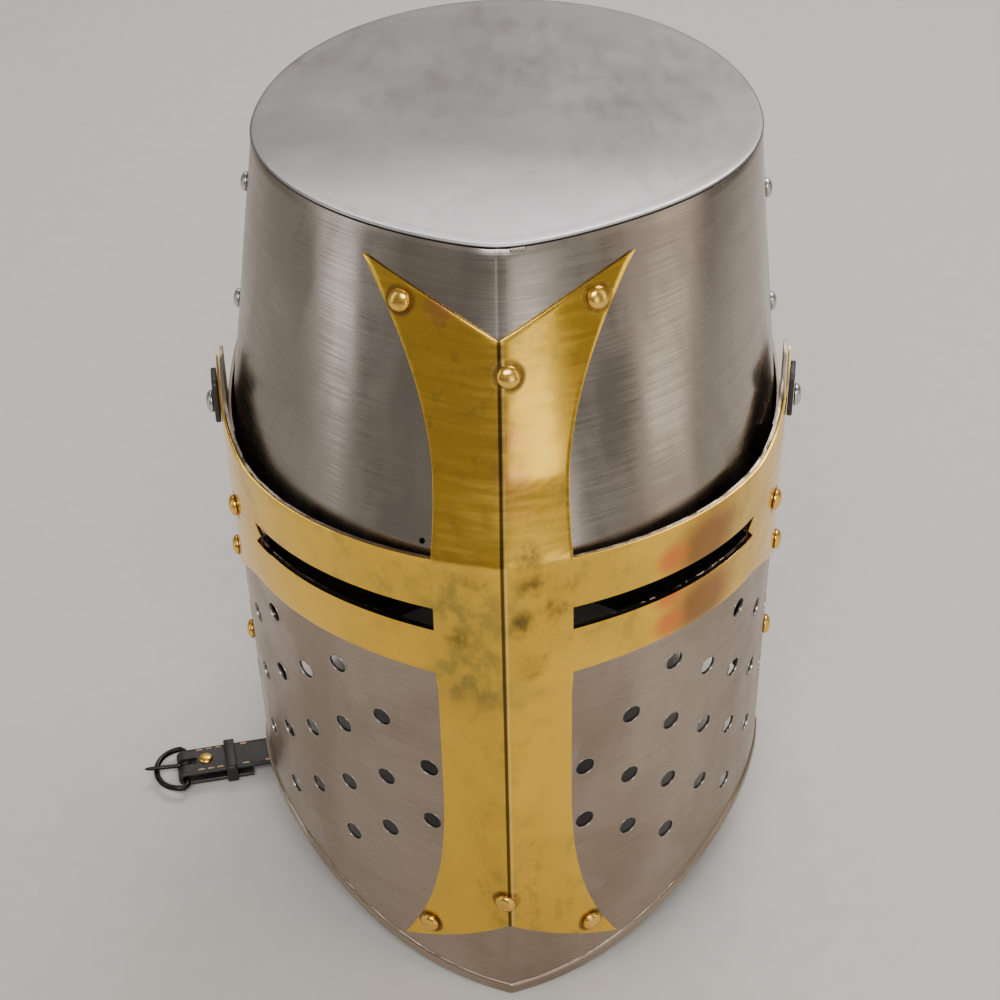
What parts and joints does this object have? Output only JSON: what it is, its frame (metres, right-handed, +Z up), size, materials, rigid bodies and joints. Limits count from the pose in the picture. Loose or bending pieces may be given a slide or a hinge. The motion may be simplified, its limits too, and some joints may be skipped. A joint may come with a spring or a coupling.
{
  "type": "knight helmet",
  "caption": "Flat-topped steel great helm with a riveted brass cross, eye slits, breath holes, a leather liner and a chin strap with a buckle.",
  "frame": {"origin": "centre of the head opening, in the plane the helm stands on, on the helm's plane of symmetry", "axes": "+Z up through the flat top, -Y out of the face, +X to the right as seen by someone facing the helm"},
  "size_m": [0.2756, 0.2589, 0.32],
  "materials": {
    "polished_steel": "polished, lightly scratched",
    "brushed_steel": "brushed, a little browned",
    "brass": "polished, spotted with tarnish",
    "black_leather": "smooth, waxed",
    "blacked_steel": "blacked, semi-gloss",
    "waxed_cord": "waxed"
  },
  "bodies": {
    "helm": {"upright_rivet_top_left": "brass", "upright_rivet_bottom_left": "brass", "arm_rivet_front_left": "brass", "arm_rivet_rear_left": "brass", "face_rivet_left": "brass", "temple_rivet_left": "polished_steel", "seam_rivet_upper_left": "polished_steel", "seam_rivet_lower_left": "polished_steel", "neck_rivet_left": "polished_steel", "upright_rivet_top_right": "brass", "upright_rivet_bottom_right": "brass", "arm_rivet_front_right": "brass", "arm_rivet_rear_right": "brass", "face_rivet_right": "brass", "temple_rivet_right": "polished_steel", "seam_rivet_upper_right": "polished_steel", "seam_rivet_lower_right": "polished_steel", "neck_rivet_right": "polished_steel", "upright_rivet_top_centre": "brass", "upright_rivet_bottom_centre": "brass", "neck_rivet_centre": "polished_steel", "top_plate": "polished_steel", "skull_front_plate": "polished_steel", "skull_rear_plate": "polished_steel", "face_plate": "brushed_steel", "neck_plate": "brushed_steel", "upright_bar": "brass", "cross_arm_left": "brass", "cross_arm_right": "brass", "temple_tab_left": "black_leather", "temple_tab_right": "black_leather", "liner_band": "black_leather", "liner_tongue_1": "black_leather", "liner_tongue_2": "black_leather", "liner_tongue_3": "black_leather", "liner_tongue_4": "black_leather", "liner_tongue_5": "black_leather", "liner_tongue_6": "black_leather", "liner_lace": "waxed_cord", "chin_strap_left": "black_leather", "chin_strap_right_top": "black_leather"},
    "strap_tail": {"chin_strap_tail": "black_leather", "strap_rivet": "brass", "strap_keeper": "black_leather"},
    "buckle_frame": {"buckle_frame": "blacked_steel"},
    "buckle_prong": {"buckle_prong": "blacked_steel"},
    "strap_right": {"chin_strap_right": "black_leather"}
  },
  "joints": [
    {"name": "chin_strap_tail_bend", "type": "hinge", "parent": "helm", "child": "strap_tail", "pos_m": [-0.116, -0.004, 0.00713], "axis": [-0.2079, 0.9781, 0], "range_deg": [0, 50]},
    {"name": "buckle_frame_pivot", "type": "hinge", "parent": "strap_tail", "child": "buckle_frame", "pos_m": [-0.1473, -0.01065, 0.0045], "axis": [-0.2079, 0.9781, 0], "range_deg": [0, 60]},
    {"name": "buckle_prong_pivot", "type": "hinge", "parent": "buckle_frame", "child": "buckle_prong", "pos_m": [-0.1473, -0.01065, 0.0045], "axis": [-0.2079, 0.9781, 0], "range_deg": [0, 40]},
    {"name": "chin_strap_right_swing", "type": "hinge", "parent": "helm", "child": "strap_right", "pos_m": [0.0946, -0.03883, 0.213], "axis": [0.1495, 0.9888, 0], "range_deg": [0, 35]}
  ]
}
